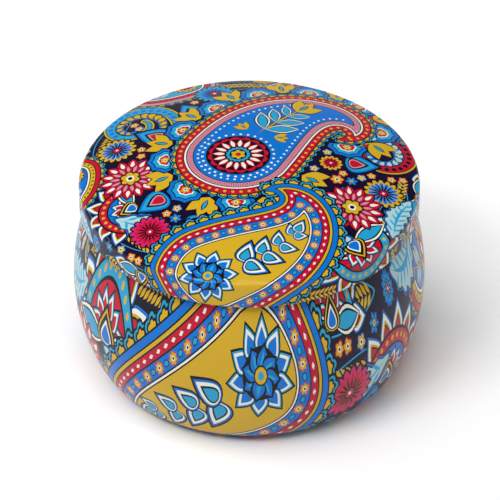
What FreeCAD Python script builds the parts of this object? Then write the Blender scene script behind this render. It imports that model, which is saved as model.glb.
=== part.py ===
import FreeCAD, Part

import math
import os

# A drum-shaped tin of seamless drawn tinplate: a bulging body and a domed slip-over lid.
# The part stands on z = 0 with its axis of symmetry on Z. All sizes are in millimetres.

# ---------------------------------------------------------------- driving dimensions

PLATE = 0.25               # thickness of the tinplate

BELLY_RADIUS = 38.5        # the body is widest here
BELLY_HEIGHT = 21.35
BASE_RADIUS = 28.7         # outer edge of the flat ring that the tin stands on
BASE_CORNER = 6.5          # outside radius between the base and the belly curve
PANEL_RADIUS = 24.7        # the raised panel inside the standing ring
PANEL_RISE = 0.8
PANEL_BEND = 1.0           # each of the two bends between panel and ring

NECK_RADIUS = 34.9         # straight neck that the lid slides over
NECK_HEIGHT = 40.6         # where the neck becomes straight
NECK_BEND = 3.0            # hollow bend between the belly curve and the neck
RIM_CURL = 0.75            # outside radius of the mouth's inward curl

LID_RADIUS = 36.9
LID_EDGE_HEIGHT = 40.0     # lower edge of the lid when it is shut
SHOULDER_HEIGHT = 46.2     # where dome and skirt would meet with a sharp corner
SHOULDER_BEND = 1.1
TOP_HEIGHT = 52.0          # crown of the dome
LID_CURL = 0.85            # outside radius of the inward curl along the lid's edge

SEAT_GAP = 0.1             # between the mouth's curl and the underside of the dome
CURL_SWEEP = 290.0         # how far round each edge is rolled, in degrees

# ---------------------------------------------------------------- sizes that follow

# Belly curve below: one arc, upright at the belly and tangent to the base corner.
_drop = BELLY_HEIGHT - BASE_CORNER
_reach = BELLY_RADIUS - BASE_RADIUS
LOWER_ARC = (_reach ** 2 + _drop ** 2 - BASE_CORNER ** 2) / (2.0 * (_reach - BASE_CORNER))

# Belly curve above: one arc, upright at the belly and tangent to the hollow neck bend.
_rise = NECK_HEIGHT - BELLY_HEIGHT
_inset = BELLY_RADIUS - NECK_RADIUS - NECK_BEND
UPPER_ARC = (_rise ** 2 + _inset ** 2 - NECK_BEND ** 2) / (2.0 * (_inset + NECK_BEND))

# The dome is part of a sphere through its crown and the sharp shoulder.
_dome_rise = TOP_HEIGHT - SHOULDER_HEIGHT
DOME_SPHERE = (LID_RADIUS ** 2 + _dome_rise ** 2) / (2.0 * _dome_rise)
DOME_CENTRE = TOP_HEIGHT - DOME_SPHERE

# The curled mouth ends just under the dome, where the shut lid rests.
CURL_CENTRE_RADIUS = NECK_RADIUS - RIM_CURL
_seat_sphere = DOME_SPHERE - PLATE - SEAT_GAP - RIM_CURL
RIM_CENTRE_HEIGHT = DOME_CENTRE + math.sqrt(_seat_sphere ** 2 - CURL_CENTRE_RADIUS ** 2)


# ---------------------------------------------------------------- profiles in the r-z half plane

def straight(start, end):
    """A straight piece of a profile between two (r, z) points."""
    return ("straight", start, end)


def bend(centre, radius, start_deg, end_deg):
    """A round piece of a profile about an (r, z) centre; 0 degrees points outwards, 90 upwards."""
    return ("bend", centre, radius, start_deg, end_deg)


def point_on(centre, radius, angle_deg):
    angle = math.radians(angle_deg)
    return (centre[0] + radius * math.cos(angle), centre[1] + radius * math.sin(angle))


def ends(piece):
    """First and last (r, z) point of a piece."""
    if piece[0] == "straight":
        return piece[1], piece[2]
    _, centre, radius, start_deg, end_deg = piece
    return point_on(centre, radius, start_deg), point_on(centre, radius, end_deg)


def moved_left(piece, distance):
    """The parallel piece, the given distance to the left of the direction of travel."""
    if piece[0] == "straight":
        (r0, z0), (r1, z1) = piece[1], piece[2]
        length = math.hypot(r1 - r0, z1 - z0)
        dr = -(z1 - z0) / length * distance
        dz = (r1 - r0) / length * distance
        return straight((r0 + dr, z0 + dz), (r1 + dr, z1 + dz))
    _, centre, radius, start_deg, end_deg = piece
    turns_left = end_deg > start_deg
    return bend(centre, radius - distance if turns_left else radius + distance, start_deg, end_deg)


def vector(point):
    return FreeCAD.Vector(point[0], 0.0, point[1])


def edge(piece):
    first, last = ends(piece)
    if piece[0] == "straight":
        return Part.LineSegment(vector(first), vector(last)).toShape()
    _, centre, radius, start_deg, end_deg = piece
    middle = point_on(centre, radius, (start_deg + end_deg) / 2.0)
    return Part.Arc(vector(first), vector(middle), vector(last)).toShape()


def drawn_shell(outside, wall_to_left):
    """Sheet of even thickness turned about Z from its outside profile, axis to curled edge."""
    inside = [moved_left(piece, wall_to_left) for piece in outside]
    at_axis = straight(ends(outside[0])[0], ends(inside[0])[0])
    at_edge = straight(ends(outside[-1])[1], ends(inside[-1])[1])
    pieces = outside + [at_edge] + inside + [at_axis]
    wire = Part.Wire(Part.__sortEdges__([edge(piece) for piece in pieces]))
    turned = Part.Face(wire).revolve(FreeCAD.Vector(0, 0, 0), FreeCAD.Vector(0, 0, 1), 360)
    return Part.Solid(turned.Shells[0]) if turned.ShapeType != "Solid" else turned


# ---------------------------------------------------------------- the two pieces

def tin_body():
    """Raised panel, standing ring, belly, hollow neck bend, straight neck and curled mouth."""
    panel_turn = math.degrees(math.acos(1.0 - PANEL_RISE / (2.0 * PANEL_BEND)))
    panel_run = 2.0 * PANEL_BEND * math.sin(math.radians(panel_turn))
    ring_start = PANEL_RADIUS + panel_run

    lower_centre = (BELLY_RADIUS - LOWER_ARC, BELLY_HEIGHT)
    corner_centre = (BASE_RADIUS, BASE_CORNER)
    corner_deg = math.degrees(math.atan2(corner_centre[1] - lower_centre[1],
                                         corner_centre[0] - lower_centre[0]))

    upper_centre = (BELLY_RADIUS - UPPER_ARC, BELLY_HEIGHT)
    hollow_centre = (NECK_RADIUS + NECK_BEND, NECK_HEIGHT)
    neck_deg = math.degrees(math.atan2(hollow_centre[1] - upper_centre[1],
                                       hollow_centre[0] - upper_centre[0]))

    curl_centre = (CURL_CENTRE_RADIUS, RIM_CENTRE_HEIGHT)
    outside = [
        straight((0.0, PANEL_RISE), (PANEL_RADIUS, PANEL_RISE)),
        bend((PANEL_RADIUS, PANEL_RISE - PANEL_BEND), PANEL_BEND, 90.0, 90.0 - panel_turn),
        bend((ring_start, PANEL_BEND), PANEL_BEND, 270.0 - panel_turn, 270.0),
        straight((ring_start, 0.0), (BASE_RADIUS, 0.0)),
        bend(corner_centre, BASE_CORNER, -90.0, corner_deg),
        bend(lower_centre, LOWER_ARC, corner_deg, 0.0),
        bend(upper_centre, UPPER_ARC, 0.0, neck_deg),
        bend(hollow_centre, NECK_BEND, 180.0 + neck_deg, 180.0),
        straight((NECK_RADIUS, NECK_HEIGHT), (NECK_RADIUS, RIM_CENTRE_HEIGHT)),
        bend(curl_centre, RIM_CURL, 0.0, CURL_SWEEP),
    ]
    return drawn_shell(outside, PLATE)


def tin_lid():
    """Shallow dome, rounded shoulder, straight skirt and curled lower edge."""
    shoulder_radius = LID_RADIUS - SHOULDER_BEND
    sphere_to_bend = DOME_SPHERE - SHOULDER_BEND
    shoulder_centre = (shoulder_radius,
                       DOME_CENTRE + math.sqrt(sphere_to_bend ** 2 - shoulder_radius ** 2))
    shoulder_deg = math.degrees(math.acos(shoulder_radius / sphere_to_bend))

    curl_centre = (LID_RADIUS - LID_CURL, LID_EDGE_HEIGHT + LID_CURL)
    outside = [
        bend((0.0, DOME_CENTRE), DOME_SPHERE, 90.0, shoulder_deg),
        bend(shoulder_centre, SHOULDER_BEND, shoulder_deg, 0.0),
        straight((LID_RADIUS, shoulder_centre[1]), (LID_RADIUS, curl_centre[1])),
        bend(curl_centre, LID_CURL, 0.0, -CURL_SWEEP),
    ]
    return drawn_shell(outside, -PLATE)


def main():
    os.makedirs("parts", exist_ok=True)
    for name, shape in (("tin_body", tin_body()), ("tin_lid", tin_lid())):
        box = shape.optimalBoundingBox()
        print(name, shape.ShapeType, "valid", shape.isValid(),
              "volume %.1f mm3" % shape.Volume,
              "r %.2f, z %.2f to %.2f" % (box.XMax, box.ZMin, box.ZMax))
        shape.exportStep("parts/" + name + ".step")


main()
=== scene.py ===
import math

import bpy
import numpy as np
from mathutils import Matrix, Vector
from mathutils.bvhtree import BVHTree
from mathutils.geometry import delaunay_2d_cdt


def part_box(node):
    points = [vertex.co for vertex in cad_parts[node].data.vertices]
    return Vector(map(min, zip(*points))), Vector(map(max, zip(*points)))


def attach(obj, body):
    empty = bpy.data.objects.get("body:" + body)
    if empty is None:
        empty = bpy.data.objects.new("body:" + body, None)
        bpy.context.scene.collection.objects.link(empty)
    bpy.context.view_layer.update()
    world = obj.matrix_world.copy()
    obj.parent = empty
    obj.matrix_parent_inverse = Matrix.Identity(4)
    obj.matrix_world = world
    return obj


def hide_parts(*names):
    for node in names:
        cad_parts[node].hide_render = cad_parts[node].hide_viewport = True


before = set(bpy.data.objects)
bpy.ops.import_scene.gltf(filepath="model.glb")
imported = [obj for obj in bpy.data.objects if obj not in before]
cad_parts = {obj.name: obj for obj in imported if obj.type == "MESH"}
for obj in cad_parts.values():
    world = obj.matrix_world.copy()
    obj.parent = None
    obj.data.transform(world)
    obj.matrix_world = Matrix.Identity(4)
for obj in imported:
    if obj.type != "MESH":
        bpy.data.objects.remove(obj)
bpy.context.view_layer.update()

# A drum-shaped spice tin of drawn tinplate, printed all over with a paisley garden under gloss varnish.
# Both shells are rebuilt on the frame's own profile as closed sheets. The artwork is drawn flat in
# millimetres, cut into the sheet's surface, and stretched over it as drawing stretches a printed blank.

MM = 0.001

# ---------------------------------------------------------------- sizes in millimetres

_, BODY_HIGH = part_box("tin_body")
LID_LOW, LID_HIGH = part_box("tin_lid")

PLATE = 0.25               # thickness of the tinplate

BELLY_RADIUS = round(BODY_HIGH.x / MM, 2)
BELLY_HEIGHT = 21.35
BASE_RADIUS = 28.7
BASE_CORNER = 6.5
PANEL_RADIUS = 24.7
PANEL_RISE = 0.8
PANEL_BEND = 1.0
NECK_RADIUS = 34.9
NECK_HEIGHT = 40.6
NECK_BEND = 3.0
RIM_CURL = 0.75
RIM_CENTRE_HEIGHT = round(BODY_HIGH.z / MM, 2) - RIM_CURL

LID_RADIUS = round(LID_HIGH.x / MM, 2)
LID_EDGE_HEIGHT = round(LID_LOW.z / MM, 2)
TOP_HEIGHT = round(LID_HIGH.z / MM, 2)
SHOULDER_HEIGHT = 46.2     # where dome and skirt would meet with a sharp corner
SHOULDER_BEND = 1.1
LID_CURL = 0.85
CURL_SWEEP = 290.0         # how far round each edge is rolled, in degrees

PRINT_RADIUS = 46.0        # the artwork's disc, at the lid's scale
BODY_PRINT_SCALE = 1.53    # the body carries the same artwork, larger, turned and a little off centre
BODY_PRINT_TURN = 9.1
BODY_PRINT_SHIFT = 1.6

RING_STEPS = 180           # points round a ring of the printed side
INSIDE_STEPS = 120         # and of the bare side
CUT_ERROR = 0.002          # points of the artwork nearer than this are one point
RIM_CLEARANCE = 0.02       # the lines of the artwork end this far inside its rim
PRINTED_ERROR = 0.025      # straight rows of the printed side stay this near to its profile
BARE_ERROR = 0.01          # and those of the bare side this near
LEAST_COVER = 1.5          # shapes narrower than this are not counted as hiding others
LEAST_HALF_WIDTH = 0.02    # a route's outline ends where it gets thinner than this
STEEPEST = 0.95            # the most that a route may widen, per unit along it
LINE_WIDTH = 0.22          # of the black lines between the bands of a paisley

PETAL_SIZES = (1.0, 0.86, 0.74, 0.56, 0.44, 0.34)    # of the outlines nested in a petal

FILLER_SIZES = (3.6, 2.8, 2.1, 1.5, 1.05)    # radii of the small flowers in the ground that is left
FILLER_PITCH = 0.7         # step of their grid, as a share of their radius
ROW_PITCH = 0.866          # of a grid of even triangles, as a share of its step

INKS = {
    "night": (14, 4, 40), "black": (8, 7, 10), "blue": (0, 104, 190), "sky": (30, 146, 190),
    "aqua": (158, 192, 196), "ochre": (194, 156, 32), "red": (178, 8, 46), "cream": (218, 217, 206),
    "pink": (186, 132, 150), "magenta": (190, 30, 100)}
INK_NAMES = list(INKS)


# ---------------------------------------------------------------- flat outlines
# Inside a motif, sizes are shares of the motif's own length or radius, and angles are in degrees.

def oval(a, b=None, n=14, x=0.0, y=0.0):
    t = np.linspace(0.0, 2.0 * math.pi, n, endpoint=False)
    return np.stack([x + a * np.cos(t), y + (b or a) * np.sin(t)], 1)


def both_sides(x, half, bow=0.0):
    """A closed outline from stations along its axis and the half width at each; bow bends the axis."""
    length = max(x[-1] - x[0], 1e-6)
    rise = bow * length * np.sin(math.pi * (x - x[0]) / length)
    return np.vstack([np.stack([x, rise + half], 1), np.stack([x, rise - half], 1)[-2:0:-1]])


def drop(length, width, start=0.0, n=7):
    """Pointed at start and round at its far end."""
    t = np.linspace(0.0, math.pi, n)
    half = np.sin(t) * np.sin(t / 2.0) ** 1.3
    return both_sides(start + length * (1.0 - np.cos(t)) / 2.0, half / half.max() * width / 2.0)


def leaf(length, width, start=0.0, n=9, bow=0.0):
    """Pointed at both ends."""
    t = np.linspace(0.0, 1.0, n)
    return both_sides(start + length * t, width / 2.0 * np.sin(math.pi * t), bow)


def petal(length, width, start, n=9):
    """Round at start and drawn out to a point."""
    t = np.linspace(0.0, 1.0, n) ** 1.8
    half = np.sqrt(t) * (1.0 - t) ** 0.9 * (1.0 + 0.9 * (1.0 - t))
    return both_sides(start + length * t, half / half.max() * width / 2.0)


def lobed(radius, lobes, depth, n=5, part=1.0):
    """Round with lobes; part below 1 gives only that share of the turn, as a fan."""
    count = int(lobes * n)
    t = np.linspace(0.0, 2.0 * math.pi * part, count + 1)[:count + (part < 1.0)]
    r = radius * (1.0 - depth + depth * np.abs(np.sin(lobes * t / 2.0 / part)))
    return np.stack([r * np.cos(t), r * np.sin(t)], 1)


# ---------------------------------------------------------------- routes: rows of x, y and half width

def paisley_route(head, length, lean, hook, n):
    """From the middle of a round head to the tip of a tail that bends by lean and then hooks round."""
    t = np.linspace(0.0, 1.0, n)
    way = np.radians(lean * t + hook * t ** 3)
    x = np.cumsum(np.cos(way)) * length / n
    y = np.cumsum(np.sin(way)) * length / n
    half = head * np.cos(0.5 * math.pi * t) ** 1.15
    return np.stack([x - x[0], y - y[0], half], 1)


def spiral_route(radius, turns, shrink, width, n=70):
    """From a pointed outer end, winding inward about the origin to a small round end."""
    t = np.linspace(0.0, 1.0, n)
    r = radius * np.exp(-shrink * t)
    angle = 2.0 * math.pi * turns * t
    half = width * np.sqrt(r / radius) * np.minimum(1.0, (t / 0.3) ** 0.8 + 0.02) * (1.0 - 0.45 * t)
    return np.stack([r * np.cos(angle), r * np.sin(angle), half], 1)[::-1]


def arc_route(radius, start, stop, width, n=40):
    """A leaf bent round an arc about the origin, pointed at both ends."""
    t = np.linspace(0.0, 1.0, n)
    angle = np.radians(start + (stop - start) * t)
    return np.stack([radius * np.cos(angle), radius * np.sin(angle), width * np.sin(math.pi * t) ** 0.8], 1)


def distances(line):
    """How far along a line of points each of them lies."""
    return np.concatenate([[0.0], np.cumsum(np.hypot(*np.diff(line, axis=0).T))])


def ribbon(route, inset):
    """The outline of a route, inset all round by the same amount."""
    spine, half = route[:, :2], route[:, 2] - inset
    along = np.gradient(spine, axis=0)
    along /= np.hypot(along[:, 0], along[:, 1])[:, None]
    left = np.stack([-along[:, 1], along[:, 0]], 1)
    back = -np.clip(np.gradient(half, distances(spine)), -STEEPEST, STEEPEST)
    out = np.sqrt(1.0 - back ** 2)
    open_rows = np.nonzero(half > LEAST_HALF_WIDTH)[0]
    keep = slice(open_rows[0], open_rows[-1] + 1)
    spine, half, left, along = spine[keep], half[keep, None], left[keep], along[keep]
    back, out = back[keep, None], out[keep, None]
    begin = math.acos(back[0, 0])
    around = max(5, int(6 + 3 * half[0, 0]))
    t = np.linspace(begin, 2.0 * math.pi - begin, around)[1:-1, None]
    cap = spine[0] + half[0] * (np.cos(t) * along[0] + np.sin(t) * left[0])
    near = spine + half * (back * along + out * left)
    far = spine + half * (back * along - out * left)
    return np.vstack([near[::-1], cap, far])


def stations(line, spacing, start=0.0, stop=None):
    """Evenly spaced (x, y, direction in degrees) along a line of points."""
    line = np.asarray(line)[:, :2]
    step = np.hypot(*np.diff(line, axis=0).T)
    run = distances(line)
    stop = run[-1] if stop is None else min(stop, run[-1])
    count = max(1, int(round((stop - start) / spacing)))
    where = start + (np.arange(count) + 0.5) * (stop - start) / count
    i = np.clip(np.searchsorted(run, where) - 1, 0, len(step) - 1)
    f = ((where - run[i]) / step[i])[:, None]
    place = line[i] * (1 - f) + line[i + 1] * f
    d = line[i + 1] - line[i]
    return [(x, y, math.degrees(math.atan2(dy, dx))) for (x, y), (dx, dy) in zip(place, d)]


# ---------------------------------------------------------------- the pen

class Pen:
    """Lays filled outlines in painter's order, in its own place, turn and size."""

    def __init__(self, shapes, matrix=None, shift=(0.0, 0.0)):
        self.shapes = shapes
        self.matrix = np.eye(2) if matrix is None else matrix
        self.shift = np.asarray(shift)

    def at(self, x=0.0, y=0.0, turn=0.0, size=1.0, flip=1):
        c, s = math.cos(math.radians(turn)) * size, math.sin(math.radians(turn)) * size
        local = np.array([[c, s], [-s * flip, c * flip]])
        return Pen(self.shapes, local @ self.matrix, np.array([x, y]) @ self.matrix + self.shift)

    def fill(self, ink, points):
        self.shapes.append((ink, np.asarray(points) @ self.matrix + self.shift))

    def layers(self, *inks_and_points):
        for ink, points in inks_and_points:
            self.fill(ink, points)

    def round_about(self, count, start=0.0, sweep=360.0):
        """Pens turned evenly about this one's middle."""
        step = sweep / count if sweep == 360.0 else sweep / max(1, count - 1)
        return [self.at(turn=start + step * k) for k in range(count)]

    def along(self, line, spacing, **ends):
        return [self.at(x, y, way) for x, y, way in stations(line, spacing, **ends)]

    def bands(self, route, *inks_and_insets):
        for ink, inset in inks_and_insets:
            self.fill(ink, ribbon(route, inset))


class Ground:
    """A grid of cells over the print, which knows the cells that the shapes cover."""

    def __init__(self, radius, cell=0.3):
        self.radius = radius
        self.cell = cell
        count = int(2.0 * radius / cell) + 1
        self.line = np.linspace(-radius, radius, count)
        self.covered = np.zeros((count, count), bool)

    def window(self, low, high):
        first = np.clip(np.searchsorted(self.line, low), 0, len(self.line))
        last = np.clip(np.searchsorted(self.line, high), 0, len(self.line))
        return slice(first[0], last[0]), slice(first[1], last[1])

    def inside(self, points):
        """The window round an outline and the cells in it whose middle the outline encloses."""
        rows, columns = self.window(points.min(0), points.max(0))
        x, y = self.line[rows, None], self.line[None, columns]
        odd = np.zeros((x.shape[0], y.shape[1]), bool)
        for (ax, ay), (bx, by) in zip(points, np.roll(points, -1, 0)):
            if ay != by:
                odd ^= ((ay > y) != (by > y)) & (x < (bx - ax) * (y - ay) / (by - ay) + ax)
        return (rows, columns), odd

    def cover(self, points):
        window, odd = self.inside(points)
        self.covered[window] |= odd

    def cover_well_inside(self, points):
        """Covers only cells whose neighbours are inside the outline too."""
        window, odd = self.inside(points)
        odd[1:-1, 1:-1] &= odd[:-2, 1:-1] & odd[2:, 1:-1] & odd[1:-1, :-2] & odd[1:-1, 2:]
        odd[[0, -1]] = False
        odd[:, [0, -1]] = False
        self.covered[window] |= odd

    def hides(self, points):
        """True where every point of an outline lies in a covered cell."""
        index = np.rint((points + self.radius) / self.cell).astype(int)
        if index.min() < 0 or index.max() >= len(self.line):
            return False
        return bool(self.covered[index[:, 0], index[:, 1]].all())

    def is_free(self, x, y, r):
        rows, columns = self.window((x - r, y - r), (x + r, y + r))
        near = (self.line[rows, None] - x) ** 2 + (self.line[None, columns] - y) ** 2 < r * r
        return not (self.covered[rows, columns] & near).any()


# ---------------------------------------------------------------- small flowers and leaves

def daisy(pen, petals=6, rim="red"):
    pen.layers((rim, lobed(1.2, petals, 0.3, 4)), ("ochre", lobed(1.0, petals, 0.34, 4)),
               ("cream", oval(0.42, n=8)), ("black", oval(0.24, n=7)))


def bluet(pen, petals=6):
    for p in pen.round_about(petals):
        p.layers(("black", leaf(1.12, 0.86, n=7)), ("blue", leaf(1.0, 0.64, n=7)),
                 ("sky", leaf(0.86, 0.22, n=5)))
    pen.layers(("black", oval(0.4, n=10)), ("ochre", oval(0.33, n=10)), ("sky", oval(0.17, n=8)))


def burst(pen, tip, shaft, rays=16):
    """A ball of round-ended rays."""
    pen.fill("black", oval(0.78, n=24))
    for p in pen.round_about(rays):
        p.fill("black", drop(1.08, 6.6 / rays))
    for p in pen.round_about(rays):
        p.layers((tip, drop(1.0, 4.6 / rays)), (shaft, drop(0.78, 3.5 / rays)),
                 ("black", drop(0.58, 1.5 / rays)))
    pen.layers(("black", oval(0.26, n=12)), ("red", oval(0.2, n=12)), ("cream", oval(0.07, n=7)))


def aster(pen, tip, shaft, eye="red", rays=12):
    """A small burst, drawn with fewer lines."""
    pen.layers(("black", lobed(1.1, rays, 0.16, 3)), (tip, lobed(1.0, rays, 0.22, 4)),
               (shaft, lobed(0.74, rays, 0.26, 4)))
    for p in pen.round_about(rays, 180.0 / rays):
        p.fill("black", drop(0.5, 0.13, 0.12, 4))
    pen.layers((eye, oval(0.24, n=9)), ("cream", oval(0.1, n=6)))


def sunburst(pen, rays=14):
    """Two rings of red blades with pale cores round a small flower."""
    for p in pen.round_about(rays):
        p.layers(("black", leaf(0.64, 0.4, 0.42)), ("red", leaf(0.56, 0.34, 0.44)),
                 ("cream", leaf(0.42, 0.13, 0.49)))
    for p in pen.round_about(rays, 180.0 / rays):
        p.layers(("black", leaf(0.5, 0.3, 0.24)), ("red", leaf(0.46, 0.25, 0.26)),
                 ("pink", leaf(0.34, 0.1, 0.31)))
    pen.layers(("black", lobed(0.38, 6, 0.25)), ("ochre", lobed(0.32, 6, 0.3)),
               ("cream", oval(0.14, n=9)), ("black", oval(0.08, n=7)))


def rosette(pen, petals=16):
    """A round flower of pale petals on a dark disc, in a ring of beads."""
    for p in pen.round_about(30):
        p.fill("cream", oval(0.05, n=7, x=1.17))
    pen.layers(("black", oval(1.06, n=40)), ("red", lobed(1.0, petals, 0.1, 4)),
               ("black", oval(0.86, n=34)))
    for p in pen.round_about(petals):
        p.layers(("red", leaf(0.5, 0.22, 0.36)), ("cream", leaf(0.42, 0.13, 0.4)))
    pen.layers(("black", oval(0.45, n=26)), ("sky", lobed(0.41, petals, 0.14, 3)),
               ("black", oval(0.29, n=20)), ("ochre", lobed(0.25, 6, 0.3)), ("red", oval(0.1, n=8)))


def tulip(pen):
    """Three sharp petals."""
    for ink, grow in (("black", 1.0), ("ochre", 0.8)):
        for angle in (-32, 32, 0):
            pen.at(turn=angle).fill(ink, leaf(0.88 + 0.16 * grow, 0.56 * grow, -0.04 * grow))
    pen.layers(("black", leaf(0.56, 0.2, 0.12)), ("sky", leaf(0.46, 0.12, 0.16)))


def half_round(radius, lobes=0, reach=1.75):
    """A disc cut off behind its middle; its edge may be lobed."""
    t = np.linspace(-reach, reach, 4 * lobes + 1 if lobes else 26)
    dip = 0.12 * np.abs(np.cos(0.5 * math.pi * lobes * (t / reach + 1.0))) if lobes else 0.0
    r = radius * (1.0 - dip)
    return np.stack([r * np.cos(t), r * np.sin(t)], 1)


def shell_fan(pen):
    """A lobed half round of nested colours with a daisy at its foot."""
    pen.layers(("black", half_round(1.09, 5)), ("blue", half_round(1.0, 5)), ("black", half_round(0.8, 5)),
               ("sky", half_round(0.74, 5)), ("cream", half_round(0.5, 5)), ("red", half_round(0.42, 5)))
    daisy(pen.at(0.1, size=0.24))


def outlined_petal(pen, *inks, wide=0.75):
    """A petal with its outlines nested inside it."""
    for k, (ink, size) in enumerate(zip(inks, PETAL_SIZES)):
        pen.fill(ink, petal(size, wide * size, 0.03 * k))


def pointed_leaf(pen, ink):
    """A leaf with a pale edge and a dark rib."""
    pen.layers(("black", leaf(1.06, 0.5, -0.03)), ("cream", leaf(1.0, 0.43)),
               ("black", leaf(0.92, 0.33, 0.03)), (ink, leaf(0.86, 0.26, 0.05)))


def fan(pen, count, sweep, distance, size, *inks, wide=0.75):
    for p in pen.round_about(count, -sweep / 2.0, sweep):
        outlined_petal(p.at(distance, size=size), *inks, wide=wide)


def half_rosette(pen, band, field):
    """Half a round flower: outer petals, a beaded band, and a tier of eyed petals in it."""
    fan(pen, 8, 208.0, 0.8, 0.74, "black", "blue", "cream", "ochre", "black", "red", wide=0.82)
    pen.layers(("black", half_round(1.0)), (band, half_round(0.94)), ("black", half_round(0.72)),
               (field, half_round(0.67)))
    for p in pen.round_about(13, -94.0, 188.0):
        p.fill("ochre", oval(0.055, n=8, x=0.83))
    fan(pen, 6, 164.0, 0.2, 0.46, "black", "sky", "cream", "red", wide=0.78)
    for side in (-1, 1):
        pointed_leaf(pen.at(-0.14, 0.06 * side, 93 * side, 1.1), "sky")
    outlined_petal(pen.at(-0.26, size=0.68), "black", "ochre", "black", "cream", "blue", wide=1.0)


def wave_leaf(pen):
    """A pale leaf with a waved edge and veins."""
    t = np.linspace(0.0, 1.0, 37)
    swell = np.sin(math.pi * t) ** 0.75
    for ink, grow in (("black", 0.055), ("blue", 0.036), ("black", 0.016), ("aqua", 0.0)):
        x = (t - 0.5) * (1.0 + 1.4 * grow)
        half = swell * (0.17 + 0.03 * np.cos(12.0 * math.pi * t) + grow)
        pen.fill(ink, both_sides(x, half, 0.08))
    pen.fill("sky", leaf(0.86, 0.05, -0.43, bow=0.08))
    for k in range(6):
        for side in (-1, 1):
            pen.at(-0.36 + 0.13 * k, 0.05, 48 * side).fill("sky", leaf(0.17, 0.035))


def sprig(pen, pairs, ink="sky"):
    """Paired leaves on a stem that ends in a tulip."""
    pen.layers(("black", leaf(1.0, 0.05)), ("ochre", leaf(0.96, 0.025, 0.01)))
    for k in range(pairs):
        for side in (-1, 1):
            pointed_leaf(pen.at(0.16 + 0.22 * k, 0.0, 46 * side, 0.42 - 0.07 * k), ink)
    tulip(pen.at(0.78, size=0.34))


# ---------------------------------------------------------------- garlands and large motifs

def scallops(pen, line, spacing, size):
    """Small fans of three lobes, side by side, on the right of a line."""
    for p in pen.along(line, spacing):
        for k, ink in enumerate(("black", "sky", "black", "ochre")):
            p.at(turn=180).fill(ink, lobed(size * (1.0 - 0.18 * k), 3, 0.24, 4, 0.5))


def beads(pen, line, spacing, ink, radius, **ends):
    """Round beads along a line."""
    for p in pen.along(line, spacing, **ends):
        p.fill(ink, oval(radius, n=8))


def hatching(pen, line, spacing, ink, length, width):
    """Short bars across a line."""
    x, y = width / 2.0, length / 2.0
    for p in pen.along(line, spacing):
        p.fill(ink, [(-x, -y), (x, -y), (x, y), (-x, y)])


def drops(pen, route, spacing, ink):
    """Round-ended drops that stand across a route, as wide as it is."""
    line = route[:, :2]
    run = distances(line)
    for k, (x, y, way) in enumerate(stations(line, spacing)):
        size = np.interp((k + 0.5) * run[-1] / max(1, round(run[-1] / spacing)), run, route[:, 2])
        if size > 0.25:
            p = pen.at(x, y, way + 118, 2.1 * size)
            p.layers(("black", drop(1.08, 0.92, -0.54)), (ink, drop(0.92, 0.68, -0.46)))


def feather(pen, route):
    """A long dark leaf filled with ochre barbs."""
    pen.bands(route, ("black", -0.3), ("sky", -0.12), ("night", 0.1))
    for x, y, way in stations(route, 1.15, start=0.9):
        for side in (-1, 1):
            pen.at(x, y, way + 38 * side).fill("ochre", leaf(1.9, 0.62, n=6))


def spiral_scroll(pen, radius, band, beading, chain):
    """A beaded spiral band with an outlined edge and a chain of drops inside its turn."""
    width = 0.19 * radius
    route = spiral_route(radius - width, 1.3, 1.35, width)
    pen.bands(route, ("black", -0.36), ("ochre", -0.14), ("black", 0.26), (band, 0.42))
    beads(pen, route, 0.13 * radius, beading, 0.045 * radius, start=0.9 * radius, stop=4.0 * radius)
    inner = spiral_route(0.56 * radius, 1.0, 1.2, 0.13 * radius)
    pen.bands(inner[6:], ("black", -0.2), ("blue", 0.0))
    drops(pen, inner[8:], 0.12 * radius, chain)


def banded_paisley(pen, route, rim, *bands):
    """A scalloped rim round bands of a given ink and width, with a black line between them."""
    scallops(pen, ribbon(route, -0.15), rim, 0.78 * rim)
    pen.bands(route, ("black", -0.25))
    inset = 0.0
    for ink, width in bands:
        pen.bands(route, ("black", inset - LINE_WIDTH), (ink, inset))
        inset += width + LINE_WIDTH


def crown_paisley(pen):
    """The blue paisley in the middle, with a rosette in its head and a sprig in its tail."""
    route = paisley_route(13.4, 46.0, -12.0, -235.0, 90)
    garland = pen.along(ribbon(route, -1.4), 5.7, stop=124.0)
    for p in garland[1::2]:
        tulip(p.at(0.0, -0.6, -90, 6.2))
    for p in garland[::2]:
        shell_fan(p.at(0.0, -0.6, -90, 4.4))
    banded_paisley(pen, route, 2.2, ("red", 1.5), ("cream", 0.4), ("pink", 1.2), ("blue", 1.0))
    beads(pen, ribbon(route, 0.75), 1.75, "ochre", 0.38)
    hatching(pen, ribbon(route, 2.94), 0.5, "red", 0.95, 0.16)
    beads(pen, ribbon(route, 4.7), 1.5, "cream", 0.28, start=12.0, stop=108.0)
    rosette(pen.at(size=6.6))
    sprig(pen.at(8.6, 0.2, -12, 18.0), 4)
    for side in (-1, 1):
        tulip(pen.at(9.6, 3.4 * side - 0.4, 66 * side, 3.2))


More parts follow.
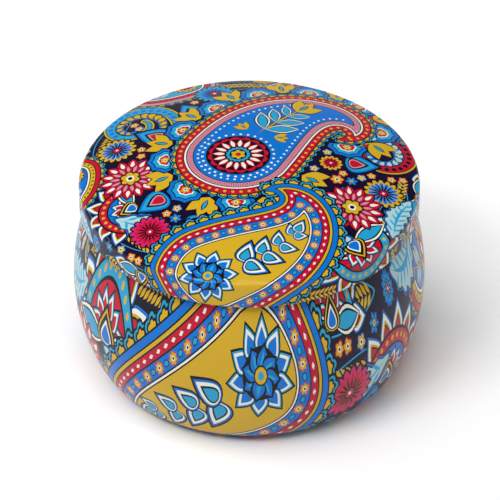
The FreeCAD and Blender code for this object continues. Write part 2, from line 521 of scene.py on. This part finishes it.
def garden_paisley(pen):
    """The blue and ochre paisley, with a flower border and a branch on its ochre field."""
    route = paisley_route(14.0, 40.6, -24.0, -170.0, 90)
    banded_paisley(pen, route, 3.0, ("blue", 1.0), ("ochre", 0.5), ("red", 1.3), ("blue", 2.0),
                   ("cream", 0.3), ("ochre", 1.0))
    for p in pen.along(ribbon(route, 2.6), 1.9):
        p.fill("cream", oval(0.52, 0.3, 4))
    for k, p in enumerate(pen.along(ribbon(route, 4.5), 1.75)):
        if k % 2:
            daisy(p.at(size=0.86), 7)
        else:
            p.layers(("black", oval(0.62, 0.5, 10)), ("sky", oval(0.48, 0.36, 10)))
    branch = ("black", "blue", "cream", "black", "sky")
    for k, p in enumerate(pen.along(route, 4.3, start=4.4, stop=22.0)):
        for side in (-1, 1):
            outlined_petal(p.at(0.0, 0.1 * side, 47 * side, 6.6 - 0.95 * k), *branch, wide=0.72)
    for p in pen.along(route, 4.0, start=21.0, stop=25.0):
        outlined_petal(p.at(-2.0, 0.0, 0.0, 4.4), *branch, wide=0.72)
    fan(pen.at(-1.4), 10, 324.0, 2.7, 4.1, "black", "sky", "cream", "blue", wide=0.85)
    pen.at(-1.4).fill("black", oval(3.5, n=26))
    bluet(pen.at(-1.4, size=3.5), 8)


def small_paisley(pen, head, inks):
    """A lesser paisley with one bead row, an aster in its head and a sprig in its tail."""
    route = paisley_route(head, 2.7 * head, -20.0, -200.0, 60)
    widths = (0.14 * head, 0.16 * head, 0.06 * head, 0.3 * head)
    banded_paisley(pen, route, 2.0, *zip(inks, widths))
    beads(pen, ribbon(route, 0.24 * head), 1.3, "black", 0.24)
    aster(pen.at(size=0.46 * head), "ochre", "red", "cream", 14)
    sprig(pen.at(0.42 * head, 0.0, -10, 1.15 * head), 2, "aqua")


# ---------------------------------------------------------------- the whole print

CROWN_PLACE = (-2.4, 1.4, 62.0)       # x, y and turn of the two large paisleys
GARDEN_PLACE = (-7.5, -34.0, 20.0)

# Where the others lie: angle round the middle in degrees, distance from it, size, and then what they need.

SKY_BAND = ("sky", "blue", "ochre")
RED_BAND = ("red", "black", "aqua")
OCHRE_BAND = ("ochre", "black", "cream")

SCROLLS = (
    (147.0, 30.0, 13.6, 1, SKY_BAND),
    (12.0, 29.0, 13.2, -1, RED_BAND),
    (84.0, 38.0, 8.6, 1, OCHRE_BAND),
    (252.0, 48.0, 8.4, 1, SKY_BAND),
    (330.0, 41.0, 8.0, 1, SKY_BAND))

SMALL_PAISLEYS = (
    (113.0, 37.5, 7.0, 1, ("pink", "red", "cream", "sky")),
    (42.0, 38.0, 7.4, -1, ("blue", "ochre", "cream", "red")),
    (178.0, 39.0, 6.4, 1, ("red", "ochre", "cream", "blue")))

HALF_ROSETTES = (
    (208.0, 29.0, 7.2, "red", "blue"),
    (312.0, 34.0, 8.6, "sky", "red"),
    (136.0, 42.0, 6.4, "sky", "red"),
    (64.0, 35.0, 6.2, "red", "sky"),
    (350.0, 38.0, 6.0, "red", "blue"),
    (232.0, 41.0, 6.2, "sky", "red"))

WAVE_LEAVES = (
    (224.0, 31.0, 17.0), (196.0, 42.0, 13.0), (26.0, 41.0, 13.0),
    (160.0, 43.0, 12.0), (296.0, 31.0, 19.0), (336.0, 36.0, 13.0))

BURST_INKS = (("ochre", "blue"), ("sky", "blue"), ("ochre", "blue"),
              ("magenta", "red"), ("sky", "blue"), ("ochre", "blue"))

ASTER_INKS = (("blue", "sky"), ("ochre", "red"), ("red", "pink"), ("ochre", "blue"))


def outer_ring(pen):
    """Feathers, scrolls, paisleys, half rosettes and leaves, turned round the middle."""
    for angle in range(20, 380, 60):
        feather(pen, arc_route(33.5, angle, angle + 34.0, 2.5))
        feather(pen, arc_route(41.5, angle + 14.0, angle + 50.0, 2.6))
    for angle, reach, size, flip, inks in SCROLLS:
        spiral_scroll(pen.at(turn=angle).at(reach, turn=150, flip=flip), size, *inks)
    for angle, reach, head, flip, inks in SMALL_PAISLEYS:
        small_paisley(pen.at(turn=angle).at(reach, 0, 100 * flip, flip=flip), head, inks)
    for angle, reach, size, band, field in HALF_ROSETTES:
        half_rosette(pen.at(turn=angle).at(reach, size=size), band, field)
    for angle, reach, size in WAVE_LEAVES:
        wave_leaf(pen.at(turn=angle).at(reach, 0, 95, size))


def inner_ring(pen):
    """Pointed petals with red hearts, and round flowers outside them."""
    for angle in range(2, 362, 30):
        spot = pen.at(turn=angle).at(20.5, size=8.6)
        outlined_petal(spot, "black", "blue", "sky", "black", "pink", "red", wide=0.85)
    for k, (tip, shaft) in enumerate(BURST_INKS):
        burst(pen.at(turn=60.0 * k + 45.0).at(30.0, size=4.4), tip, shaft)
    for angle in (188.0, 328.0):
        sunburst(pen.at(turn=angle).at(26.0, size=6.8))


def fillers(pen):
    """Small flowers in whatever ground is left, the larger ones first."""
    ground = Ground(PRINT_RADIUS)
    for _, points in pen.shapes:
        ground.cover(points)
    for rank, size in enumerate(FILLER_SIZES):
        step = FILLER_PITCH * size
        rows = int(PRINT_RADIUS / step) + 1
        for row in range(-rows, rows + 1):
            for column in range(-rows, rows + 1):
                x, y = (column + 0.5 * (row % 2)) * step, ROW_PITCH * row * step
                if x * x + y * y > PRINT_RADIUS ** 2 or not ground.is_free(x, y, size):
                    continue
                ground.cover(oval(size, n=12, x=x, y=y))
                spot = pen.at(x, y, 47.0 * row + 31.0 * column, 0.92 * size)
                pick = row + column
                if rank < 3:
                    aster(spot, *ASTER_INKS[pick % 4])
                elif rank < 4:
                    (bluet if pick % 2 else daisy)(spot)
                else:
                    daisy(spot, 5, ("red", "blue")[pick % 2])


def folk_print():
    """The artwork on a disc, in millimetres on the lid: a paisley garden in rings round the middle."""
    pen = Pen([])
    outer_ring(pen)
    inner_ring(pen)
    crown_paisley(pen.at(*CROWN_PLACE))
    garden_paisley(pen.at(*GARDEN_PLACE, flip=-1))
    fillers(pen)
    return without_hidden(pen.shapes)


def without_hidden(shapes):
    """The shapes without those that later ones cover."""
    ground = Ground(PRINT_RADIUS)
    kept = []
    for ink, points in reversed(shapes):
        if np.hypot(*points.T).min() < PRINT_RADIUS and not ground.hides(points):
            kept.append((ink, points))
            if np.ptp(points, axis=0).min() > LEAST_COVER:
                ground.cover_well_inside(points)
    return kept[::-1]


# ---------------------------------------------------------------- profiles in the r-z half plane

def straight(r0, z0, r1, z1, n=60):
    return np.linspace((r0, z0), (r1, z1), n)


def bend(r, z, radius, start_deg, end_deg, n=90):
    """Round piece about (r, z); 0 degrees points outwards, 90 upwards."""
    angle = np.radians(np.linspace(start_deg, end_deg, n))
    return np.stack([r + radius * np.cos(angle), z + radius * np.sin(angle)], 1)


def body_profile():
    """Outside of the body from the base's middle up to its curled mouth, in two parts: printed and bare."""
    panel_turn = math.degrees(math.acos(1.0 - PANEL_RISE / (2.0 * PANEL_BEND)))
    ring_start = PANEL_RADIUS + 2.0 * PANEL_BEND * math.sin(math.radians(panel_turn))
    drop_height = BELLY_HEIGHT - BASE_CORNER
    reach = BELLY_RADIUS - BASE_RADIUS
    lower = (reach ** 2 + drop_height ** 2 - BASE_CORNER ** 2) / (2.0 * (reach - BASE_CORNER))
    corner_deg = math.degrees(math.atan2(BASE_CORNER - BELLY_HEIGHT, BASE_RADIUS - BELLY_RADIUS + lower))
    rise = NECK_HEIGHT - BELLY_HEIGHT
    inset = BELLY_RADIUS - NECK_RADIUS - NECK_BEND
    upper = (rise ** 2 + inset ** 2 - NECK_BEND ** 2) / (2.0 * (inset + NECK_BEND))
    neck_deg = math.degrees(math.atan2(rise, NECK_RADIUS + NECK_BEND - BELLY_RADIUS + upper))
    printed = np.vstack([
        straight(0.0, PANEL_RISE, PANEL_RADIUS, PANEL_RISE),
        bend(PANEL_RADIUS, PANEL_RISE - PANEL_BEND, PANEL_BEND, 90.0, 90.0 - panel_turn)[1:],
        bend(ring_start, PANEL_BEND, PANEL_BEND, 270.0 - panel_turn, 270.0)[1:],
        straight(ring_start, 0.0, BASE_RADIUS, 0.0)[1:],
        bend(BASE_RADIUS, BASE_CORNER, BASE_CORNER, -90.0, corner_deg)[1:],
        bend(BELLY_RADIUS - lower, BELLY_HEIGHT, lower, corner_deg, 0.0)[1:],
        bend(BELLY_RADIUS - upper, BELLY_HEIGHT, upper, 0.0, neck_deg)[1:],
        bend(NECK_RADIUS + NECK_BEND, NECK_HEIGHT, NECK_BEND, 180.0 + neck_deg, 180.0)[1:],
        straight(NECK_RADIUS, NECK_HEIGHT, NECK_RADIUS, RIM_CENTRE_HEIGHT)[1:]])
    bare = bend(NECK_RADIUS - RIM_CURL, RIM_CENTRE_HEIGHT, RIM_CURL, 0.0, CURL_SWEEP)[1:]
    return printed, bare


def lid_profile():
    """Outside of the lid from its crown down to its curled edge, in two parts: printed and bare."""
    dome_rise = TOP_HEIGHT - SHOULDER_HEIGHT
    sphere = (LID_RADIUS ** 2 + dome_rise ** 2) / (2.0 * dome_rise)
    centre = TOP_HEIGHT - sphere
    shoulder = LID_RADIUS - SHOULDER_BEND
    shoulder_height = centre + math.sqrt((sphere - SHOULDER_BEND) ** 2 - shoulder ** 2)
    shoulder_deg = math.degrees(math.acos(shoulder / (sphere - SHOULDER_BEND)))
    curl_height = LID_EDGE_HEIGHT + LID_CURL
    printed = np.vstack([
        bend(0.0, centre, sphere, 90.0, shoulder_deg),
        bend(shoulder, shoulder_height, SHOULDER_BEND, shoulder_deg, 0.0)[1:],
        straight(LID_RADIUS, shoulder_height, LID_RADIUS, curl_height)[1:],
        bend(LID_RADIUS - LID_CURL, curl_height, LID_CURL, 0.0, -90.0)[1:]])
    bare = bend(LID_RADIUS - LID_CURL, curl_height, LID_CURL, -90.0, -CURL_SWEEP)[1:]
    return printed, bare


def outward(profile, side):
    """Unit normals of a profile, away from the plate."""
    along = np.gradient(profile, axis=0)
    along /= np.hypot(along[:, 0], along[:, 1])[:, None]
    return side * np.stack([along[:, 1], -along[:, 0]], 1)


def blank_radius(profile):
    """Radius on the flat blank of each profile point, if drawing keeps the sheet's area."""
    run = np.hypot(*np.diff(profile, axis=0).T)
    middle = (profile[1:, 0] + profile[:-1, 0]) / 2.0
    return np.sqrt(np.concatenate([[0.0], np.cumsum(2.0 * middle * run)]))


def chosen_rows(profile, error):
    """Rows of a profile that keep the straight line between two of them within an error of it.

    A chord's error is the turn along it, times its length, over 8.
    """
    step = np.diff(profile, axis=0)
    way = np.unwrap(np.arctan2(step[:, 1], step[:, 0]))
    run = distances(profile)
    rows, last = [0], 0
    for k in range(1, len(profile) - 1):
        if abs(way[k] - way[last]) * (run[k] - run[last]) / 8.0 >= error:
            rows.append(k)
            last = k
    return rows + [len(profile) - 1]


# ---------------------------------------------------------------- the printed sheets

def triangles(points, edges, outlines, radius):
    """Triangles within a disc of the flat blank, cut along edges and outlines, and what each lies in."""
    corners, _, faces, _, _, sources = delaunay_2d_cdt(points, edges, outlines, 0, CUT_ERROR, True)
    corners = np.array([tuple(c) for c in corners])
    faces = np.array(faces)
    within = np.hypot(*corners[faces].mean(1).T) < radius * math.cos(math.pi / RING_STEPS) - CUT_ERROR
    used, kept = np.unique(faces[within], return_inverse=True)
    return corners[used], kept.reshape(-1, 3), [s for s, w in zip(sources, within) if w]


def sides_of(faces):
    """The sides of triangles, each with its lower point first: all first sides, then second, then third."""
    return np.sort(np.vstack([faces[:, [0, 1]], faces[:, [1, 2]], faces[:, [2, 0]]]), axis=1)


def enclosed(places, outline):
    """Which places an outline winds about."""
    x, y = places.T
    turns = np.zeros(len(places), int)
    for (ax, ay), (bx, by) in zip(outline, np.roll(outline, -1, 0)):
        if ay != by:
            crossed = ((ay > y) != (by > y)) & (x < (bx - ax) * (y - ay) / (by - ay) + ax)
            turns[crossed] += 1 if by > ay else -1
    return turns != 0


def top_inks(places, sources, shapes):
    """The ink on top at each place.

    sources names the shapes that each place may lie in, and each is tested, because the cutter can name a
    shape that doesn't enclose the place.
    """
    top = np.zeros(len(places), int)
    untested = [sorted(source) for source in sources]
    left = [k for k, source in enumerate(untested) if source]
    while left:
        by_shape = {}
        for k in left:
            by_shape.setdefault(untested[k].pop(), []).append(k)
        left = []
        for number, group in by_shape.items():
            ink, outline = shapes[number]
            group = np.array(group)
            inside = enclosed(places[group], outline)
            top[group[inside]] = INK_NAMES.index(ink)
            left += [k for k in group[~inside] if untested[k]]
    return top


def add_rings(points, edges, radii):
    for radius in radii:
        first = len(points)
        points += [Vector(p) for p in oval(radius, n=RING_STEPS)]
        edges += [(first + k, first + (k + 1) % RING_STEPS) for k in range(RING_STEPS)]


def cut_print(shapes, radii):
    """Triangles of the blank and the ink of each, cut only where two inks meet and along the rings."""
    shapes = [(ink, outline) for ink, outline in shapes if np.hypot(*outline.T).min() < radii[-1]]
    points, outlines, edges = [], [], []
    for _, outline in shapes:
        x, y = outline.T
        if np.sum(x * np.roll(y, -1) - y * np.roll(x, -1)) < 0.0:
            outline = outline[::-1]
        outlines.append(list(range(len(points), len(points) + len(outline))))
        points += [Vector(p) for p in outline]
    add_rings(points, edges, radii[-1:])
    corners, faces, sources = triangles(points, edges, outlines, radii[-1])
    colours = top_inks(corners[faces].mean(1), sources, shapes)

    sides = sides_of(faces)
    order = np.lexsort(sides.T)
    sides, beside = sides[order], np.tile(colours, 3)[order]
    pair = (sides[:-1] == sides[1:]).all(1)
    line = np.nonzero(pair & (beside[:-1] != beside[1:]))[0]
    used, kept = np.unique(sides[line], return_inverse=True)
    reach = radii[-1] * math.cos(math.pi / RING_STEPS) - RIM_CLEARANCE
    short = np.minimum(1.0, reach / np.maximum(np.hypot(*corners[used].T), CUT_ERROR))
    points = [Vector(p) for p in corners[used] * short[:, None]]
    edges = [tuple(e) for e in kept.reshape(-1, 2)]
    add_rings(points, edges, radii)
    final, final_faces, _ = triangles(points, edges, [], radii[-1])

    artwork = BVHTree.FromPolygons([(x, y, 0.0) for x, y in corners], faces.tolist())
    down = Vector((0.0, 0.0, -1.0))
    last = 0
    slots = []
    for x, y in final[final_faces].mean(1):
        hit = artwork.ray_cast(Vector((x, y, 1.0)), down)[2]
        last = last if hit is None else int(colours[hit])
        slots.append(last)
    return final, final_faces, slots


def rim_points(faces):
    """The points on the open rim of a sheet of triangles."""
    unique, times = np.unique(sides_of(faces), axis=0, return_counts=True)
    return np.unique(unique[times == 1])


def spun(r, z, angle):
    """Places, or directions, from their parts away from the axis and along it, at angles round it."""
    return np.stack([r * np.cos(angle), r * np.sin(angle), np.broadcast_to(z, angle.shape)], 1)


def bridge(faces, outer, outer_angles, inner, inner_angles):
    """Triangles between two rings of points, each in order of angle."""
    outer = list(outer) + [outer[0]]
    inner = list(inner) + [inner[0]]
    outer_angles = list(outer_angles) + [outer_angles[0] + 2.0 * math.pi]
    inner_angles = list(inner_angles) + [inner_angles[0] + 2.0 * math.pi]
    a = b = 0
    while a < len(outer) - 1 or b < len(inner) - 1:
        if b == len(inner) - 1 or (a < len(outer) - 1 and outer_angles[a + 1] <= inner_angles[b + 1]):
            faces.append((outer[a], outer[a + 1], inner[b]))
            a += 1
        else:
            faces.append((outer[a], inner[b + 1], inner[b]))
            b += 1


def printed_shell(name, profiles, side, shapes, materials):
    """One closed sheet: artwork on its outside, bare tinplate on its rolled edge and inside.

    side is 1 where the plate lies on the left of the profile as it runs from the axis, and -1 on the right.
    """
    printed, bare = profiles
    whole = np.vstack([printed, bare])
    normals = outward(whole, side)
    blank = blank_radius(printed)
    corners, faces, slots = cut_print(shapes, [blank[k] for k in chosen_rows(printed, PRINTED_ERROR)[1:]])

    # the printed side: flat radius to place on the profile, angle unchanged
    flat, angle = np.hypot(*corners.T), np.arctan2(corners[:, 1], corners[:, 0])
    edge = rim_points(faces)
    flat[edge] = blank[-1]
    r, z = np.interp(flat, blank, printed[:, 0]), np.interp(flat, blank, printed[:, 1])
    nr = np.interp(flat, blank, normals[:len(printed), 0])
    nz = np.interp(flat, blank, normals[:len(printed), 1])
    places = [spun(r, z, angle)]
    facing = [spun(nr, nz, angle)]
    faces = [tuple(f) for f in (faces if side < 0 else faces[:, ::-1])]

    # the bare side: on round the rolled edge, across the cut and back along the inside to the axis
    rest = chosen_rows(bare, BARE_ERROR)
    back = chosen_rows(whole, BARE_ERROR)[::-1]
    outside_rows = [len(printed) + k for k in rest]
    loop = [(whole[k], normals[k]) for k in outside_rows]
    loop += [(whole[k] - PLATE * normals[k], -normals[k]) for k in back]
    turn = np.linspace(-math.pi, math.pi, INSIDE_STEPS, endpoint=False)
    count = len(corners)
    order = edge[np.argsort(angle[edge])]
    last, last_angles = list(order), list(angle[order])
    bare_faces = []
    for (r0, z0), (nr0, nz0) in loop[:-1]:
        ring = list(range(count, count + INSIDE_STEPS))
        count += INSIDE_STEPS
        places.append(spun(r0, z0, turn))
        facing.append(spun(nr0, nz0, turn))
        bridge(bare_faces, last, last_angles, ring, turn)
        last, last_angles = ring, turn
    (_, z0), (_, nz0) = loop[-1]
    places.append(np.array([[0.0, 0.0, z0]]))
    facing.append(np.array([[0.0, 0.0, math.copysign(1.0, nz0)]]))
    bare_faces += [(last[k], last[(k + 1) % INSIDE_STEPS], count) for k in range(INSIDE_STEPS)]
    if side < 0:
        bare_faces = [f[::-1] for f in bare_faces]
    faces += bare_faces
    slots += [len(INK_NAMES)] * len(bare_faces)

    mesh = bpy.data.meshes.new(name)
    mesh.from_pydata((np.vstack(places) * MM).tolist(), [], faces)
    for material in materials:
        mesh.materials.append(material)
    mesh.polygons.foreach_set("material_index", slots)
    mesh.polygons.foreach_set("use_smooth", [True] * len(faces))
    mesh.update()
    directions = np.vstack(facing)
    directions /= np.linalg.norm(directions, axis=1)[:, None]
    mesh.normals_split_custom_set_from_vertices(directions.tolist())
    return added(name, mesh)


def added(name, data):
    """A new object that holds the data, in the scene."""
    thing = bpy.data.objects.new(name, data)
    bpy.context.scene.collection.objects.link(thing)
    return thing


# ---------------------------------------------------------------- materials

def linear(colour):
    """Screen colour, 0 to 255, as a shader's colour."""
    shares = [c / 255.0 for c in colour]
    return tuple(((c + 0.055) / 1.055) ** 2.4 if c > 0.04 else c / 12.92 for c in shares) + (1.0,)


def node(tree, kind, **settings):
    made = tree.nodes.new(kind)
    for key, value in settings.items():
        if key in made.inputs:
            made.inputs[key].default_value = value
        else:
            setattr(made, key, value)
    return made


def remap(tree, low, high, new_low, new_high):
    """A node that maps the range from low to high onto new_low to new_high."""
    ends = {"From Min": low, "From Max": high, "To Min": new_low, "To Max": new_high}
    return node(tree, "ShaderNodeMapRange", **ends)


def varnished_ink(name, colour):
    """Litho ink on tin under gloss varnish, with orange peel, rub marks and finger dulling."""
    material = bpy.data.materials.new("ink_" + name)
    material.use_nodes = True
    tree = material.node_tree
    shader = tree.nodes["Principled BSDF"]
    shader.inputs["Base Color"].default_value = linear(colour)
    shader.inputs["IOR"].default_value = 1.46
    shader.inputs["Specular IOR Level"].default_value = 0.1
    shader.inputs["Coat Weight"].default_value = 0.25
    shader.inputs["Coat Roughness"].default_value = 0.05
    place = tree.nodes.new("ShaderNodeTexCoord")

    haze = node(tree, "ShaderNodeTexNoise", Scale=60.0, Detail=4.0, Roughness=0.6)
    rubs = node(tree, "ShaderNodeTexNoise", Scale=900.0, Detail=3.0, Roughness=0.7)
    spread = remap(tree, 0.3, 0.7, 0.2, 0.34)
    worn = node(tree, "ShaderNodeMath", operation="MULTIPLY_ADD")
    worn.inputs[1].default_value = 0.09
    tree.links.new(place.outputs["Object"], haze.inputs["Vector"])
    tree.links.new(place.outputs["Object"], rubs.inputs["Vector"])
    tree.links.new(haze.outputs["Fac"], spread.inputs["Value"])
    tree.links.new(rubs.outputs["Fac"], worn.inputs[0])
    tree.links.new(spread.outputs["Result"], worn.inputs[2])
    tree.links.new(worn.outputs["Value"], shader.inputs["Roughness"])

    peel = node(tree, "ShaderNodeTexNoise", Scale=1400.0, Detail=2.0, Roughness=0.5)
    swell = node(tree, "ShaderNodeTexNoise", Scale=45.0, Detail=1.0, Roughness=0.4)
    fine = node(tree, "ShaderNodeBump", Strength=0.25, Distance=0.00001)
    broad = node(tree, "ShaderNodeBump", Strength=0.3, Distance=0.0002)
    tree.links.new(place.outputs["Object"], peel.inputs["Vector"])
    tree.links.new(place.outputs["Object"], swell.inputs["Vector"])
    tree.links.new(peel.outputs["Fac"], fine.inputs["Height"])
    tree.links.new(swell.outputs["Fac"], broad.inputs["Height"])
    tree.links.new(broad.outputs["Normal"], fine.inputs["Normal"])
    tree.links.new(fine.outputs["Normal"], shader.inputs["Normal"])
    return material


def bare_tinplate():
    """Bright rolled tinplate with faint rolling lines and handling haze."""
    material = bpy.data.materials.new("bare_tinplate")
    material.use_nodes = True
    tree = material.node_tree
    shader = tree.nodes["Principled BSDF"]
    shader.inputs["Base Color"].default_value = linear((214, 212, 205))
    shader.inputs["Metallic"].default_value = 1.0
    place = tree.nodes.new("ShaderNodeTexCoord")
    stretch = node(tree, "ShaderNodeMapping", Scale=(120.0, 2600.0, 120.0))
    lines = node(tree, "ShaderNodeTexNoise", Scale=1.0, Detail=5.0, Roughness=0.65)
    haze = node(tree, "ShaderNodeTexNoise", Scale=70.0, Detail=4.0, Roughness=0.6)
    spread = remap(tree, 0.3, 0.7, 0.24, 0.42)
    ridges = node(tree, "ShaderNodeBump", Strength=0.4, Distance=0.000015)
    tree.links.new(place.outputs["Object"], stretch.inputs["Vector"])
    tree.links.new(stretch.outputs["Vector"], lines.inputs["Vector"])
    tree.links.new(place.outputs["Object"], haze.inputs["Vector"])
    tree.links.new(haze.outputs["Fac"], spread.inputs["Value"])
    tree.links.new(spread.outputs["Result"], shader.inputs["Roughness"])
    tree.links.new(lines.outputs["Fac"], ridges.inputs["Height"])
    tree.links.new(ridges.outputs["Normal"], shader.inputs["Normal"])
    return material


# ---------------------------------------------------------------- the two pieces

def turned(points, degrees, size):
    c, s = math.cos(math.radians(degrees)), math.sin(math.radians(degrees))
    return points @ np.array([[c, s], [-s, c]]) * size


def make_tin():
    artwork = folk_print()
    materials = [varnished_ink(name, colour) for name, colour in INKS.items()] + [bare_tinplate()]

    lid = printed_shell("printed_lid_shell", lid_profile(), -1, artwork, materials)
    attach(lid, "lid")
    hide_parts("tin_lid")

    # the body is drawn from a larger print, seen from below, so its x runs the other way from above
    on_body = []
    for ink, points in artwork:
        x, y = (turned(points, BODY_PRINT_TURN, BODY_PRINT_SCALE) + BODY_PRINT_SHIFT).T
        on_body.append((ink, np.stack([-x, y], 1)))
    body = printed_shell("printed_body_shell", body_profile(), 1, on_body, materials)
    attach(body, "body")
    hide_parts("tin_body")


# ---------------------------------------------------------------- stage, light and camera

def aim(thing, place, target):
    thing.location = Vector(place)
    thing.rotation_mode = "QUATERNION"
    thing.rotation_quaternion = (Vector(target) - Vector(place)).to_track_quat("-Z", "Y")


def area_light(name, place, target, width, height, power):
    light = bpy.data.lights.new(name, "AREA")
    light.shape = "RECTANGLE"
    light.size = width
    light.size_y = height
    light.energy = power
    aim(added(name, light), place, target)


def make_floor():
    reach = 6.0
    mesh = bpy.data.meshes.new("floor")
    corners = [(-reach, -reach, 0.0), (reach, -reach, 0.0), (reach, reach, 0.0), (-reach, reach, 0.0)]
    mesh.from_pydata(corners, [], [(0, 1, 2, 3)])
    material = bpy.data.materials.new("pale_floor")
    material.use_nodes = True
    shader = material.node_tree.nodes["Principled BSDF"]
    shader.inputs["Base Color"].default_value = (0.9, 0.9, 0.9, 1.0)
    shader.inputs["Roughness"].default_value = 0.8
    mesh.materials.append(material)
    added("floor", mesh)


def studio_world():
    """Pale walls all round and a dimmer ceiling."""
    world = bpy.data.worlds.new("studio")
    world.use_nodes = True
    tree = world.node_tree
    place = tree.nodes.new("ShaderNodeTexCoord")
    split = tree.nodes.new("ShaderNodeSeparateXYZ")
    height = remap(tree, 0.1, 0.4, 0.62, 0.13)
    tree.links.new(place.outputs["Generated"], split.inputs["Vector"])
    tree.links.new(split.outputs["Z"], height.inputs["Value"])
    tree.links.new(height.outputs["Result"], tree.nodes["Background"].inputs["Strength"])
    tree.nodes["Background"].inputs["Color"].default_value = (1.0, 1.0, 1.0, 1.0)
    bpy.context.scene.world = world


def make_light():
    middle = (0.0, 0.0, 0.03)
    studio_world()
    overhead = bpy.data.lights.new("overhead", "SUN")
    overhead.energy = 2.0
    overhead.angle = math.radians(50.0)
    aim(added("overhead", overhead), (-0.15, -0.2, 1.0), middle)
    area_light("key", (-0.55, -0.5, 0.95), middle, 0.45, 0.3, 5.0)
    area_light("left_strip", (-0.85, 0.49, 0.69), middle, 0.7, 0.16, 3.2)
    area_light("fill", (0.75, -0.35, 0.8), middle, 0.5, 0.5, 1.6)


def make_camera():
    elevation = math.radians(38.107)
    distance = 0.9225
    target = Vector((0.00015, 0.0, 0.02685))
    camera = bpy.data.cameras.new("camera")
    camera.sensor_width = 36.0
    camera.lens = 303.4
    camera.clip_start = 0.05
    camera.clip_end = 20.0
    holder = added("camera", camera)
    back = Vector((0.0, -math.cos(elevation), math.sin(elevation)))
    aim(holder, target + back * distance, target)
    bpy.context.scene.camera = holder


make_tin()
make_floor()
make_light()
make_camera()
bpy.context.scene.view_settings.view_transform = "Standard"
